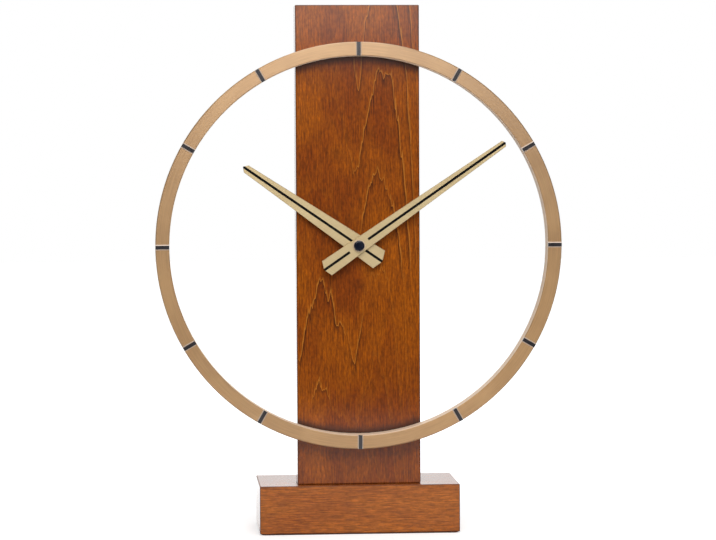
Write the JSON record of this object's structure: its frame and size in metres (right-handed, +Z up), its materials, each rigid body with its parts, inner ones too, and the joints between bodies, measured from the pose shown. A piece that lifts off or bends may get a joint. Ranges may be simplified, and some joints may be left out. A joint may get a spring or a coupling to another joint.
{
  "type": "table clock",
  "caption": "Table clock: a wooden board on a wooden foot carries an open gold metal ring dial with dark bar markers and two gold hands, driven by a quartz movement",
  "frame": {"origin": "middle of the felt's underside, on the surface that the clock stands on", "axes": "+Z up along the board, -Y out of the dial towards the reader, +X to the reader's right"},
  "size_m": [0.337, 0.0868, 0.44],
  "materials": {
    "stained_wood": "satin lacquer over a red-brown stain",
    "plain_wood": "plain beech",
    "felt": "matt brown felt",
    "gold_ring": "satin, champagne anodised",
    "dark_marker": "satin charcoal",
    "gold_hand": "satin, pale gold anodised",
    "black_line": "black lacquer",
    "cap": "satin blue-black",
    "brass": "turned",
    "steel": "zinc plated",
    "black_plastic": "fine moulded grain",
    "smoked_plastic": "polished, smoked",
    "white_plastic": "natural acetal",
    "copper_wire": "enamelled copper",
    "magnet": "ground",
    "green_board": "solder mask",
    "black_resin": "cast resin",
    "cell_sleeve": "printed sleeve"
  },
  "bodies": {
    "stand": {"base_block": "stained_wood", "base_felt": "felt", "column": "stained_wood", "column_dowels": "plain_wood", "column_screws": "steel", "dial_ring": "gold_ring", "hour_marker_01": "dark_marker", "hour_marker_02": "dark_marker", "hour_marker_03": "dark_marker", "hour_marker_04": "dark_marker", "hour_marker_05": "dark_marker", "hour_marker_06": "dark_marker", "hour_marker_07": "dark_marker", "hour_marker_08": "dark_marker", "hour_marker_09": "dark_marker", "hour_marker_10": "dark_marker", "hour_marker_11": "dark_marker", "hour_marker_12": "dark_marker", "ring_screws": "steel", "centre_bushing": "brass", "bushing_washer": "brass", "bushing_nut": "brass", "stator": "steel", "coil_core": "steel", "coil_bobbin": "white_plastic", "coil_winding": "copper_wire", "circuit_board": "green_board", "clock_chip": "black_resin", "quartz_crystal": "steel", "battery": "cell_sleeve", "contact_positive": "steel", "contact_negative": "steel", "movement_case": "black_plastic", "movement_cover": "smoked_plastic", "cover_screws": "steel"},
    "minute_work": {"minute_hand": "gold_hand", "minute_hand_line": "black_line", "minute_hand_bush": "brass", "hand_cap": "cap", "minute_arbor": "brass"},
    "hour_work": {"hour_hand": "gold_hand", "hour_hand_line": "black_line", "hour_hand_bush": "brass", "hour_wheel": "white_plastic"},
    "minute_wheel_work": {"minute_wheel": "white_plastic"},
    "third_wheel_work": {"third_wheel": "white_plastic"},
    "intermediate_work": {"intermediate_wheel": "white_plastic"},
    "rotor_work": {"rotor_pinion": "white_plastic", "rotor_magnet": "magnet"},
    "knob_work": {"set_knob": "black_plastic"}
  },
  "joints": [
    {"name": "minute_hand_turn", "type": "hinge", "parent": "stand", "child": "minute_work", "pos_m": [0, -0.0165, 0.2405], "axis": [0, 1, 0], "continuous": true},
    {"name": "hour_hand_turn", "type": "hinge", "parent": "stand", "child": "hour_work", "pos_m": [0, -0.0165, 0.2405], "axis": [0, 1, 0], "continuous": true},
    {"name": "minute_wheel_turn", "type": "hinge", "parent": "stand", "child": "minute_wheel_work", "pos_m": [-0.0096, -0.0165, 0.2405], "axis": [0, 1, 0], "continuous": true},
    {"name": "set_knob_turn", "type": "hinge", "parent": "stand", "child": "knob_work", "pos_m": [-0.01905, -0.0165, 0.24217], "axis": [0, 1, 0], "continuous": true},
    {"name": "third_wheel_turn", "type": "hinge", "parent": "stand", "child": "third_wheel_work", "pos_m": [0.00707, -0.0165, 0.24757], "axis": [0, 1, 0], "continuous": true},
    {"name": "intermediate_wheel_turn", "type": "hinge", "parent": "stand", "child": "intermediate_work", "pos_m": [0.01683, -0.0165, 0.24672], "axis": [0, 1, 0], "continuous": true},
    {"name": "rotor_turn", "type": "hinge", "parent": "stand", "child": "rotor_work", "pos_m": [0.01553, -0.0165, 0.2541], "axis": [0, 1, 0], "continuous": true}
  ],
  "couplings": [
    {"joint": "hour_hand_turn", "follows": "minute_hand_turn", "ratio": 0.083333},
    {"joint": "minute_wheel_turn", "follows": "minute_hand_turn", "ratio": -0.33333},
    {"joint": "set_knob_turn", "follows": "minute_hand_turn", "ratio": 1},
    {"joint": "third_wheel_turn", "follows": "minute_hand_turn", "ratio": -3},
    {"joint": "intermediate_wheel_turn", "follows": "minute_hand_turn", "ratio": 18},
    {"joint": "rotor_turn", "follows": "minute_hand_turn", "ratio": -90}
  ]
}
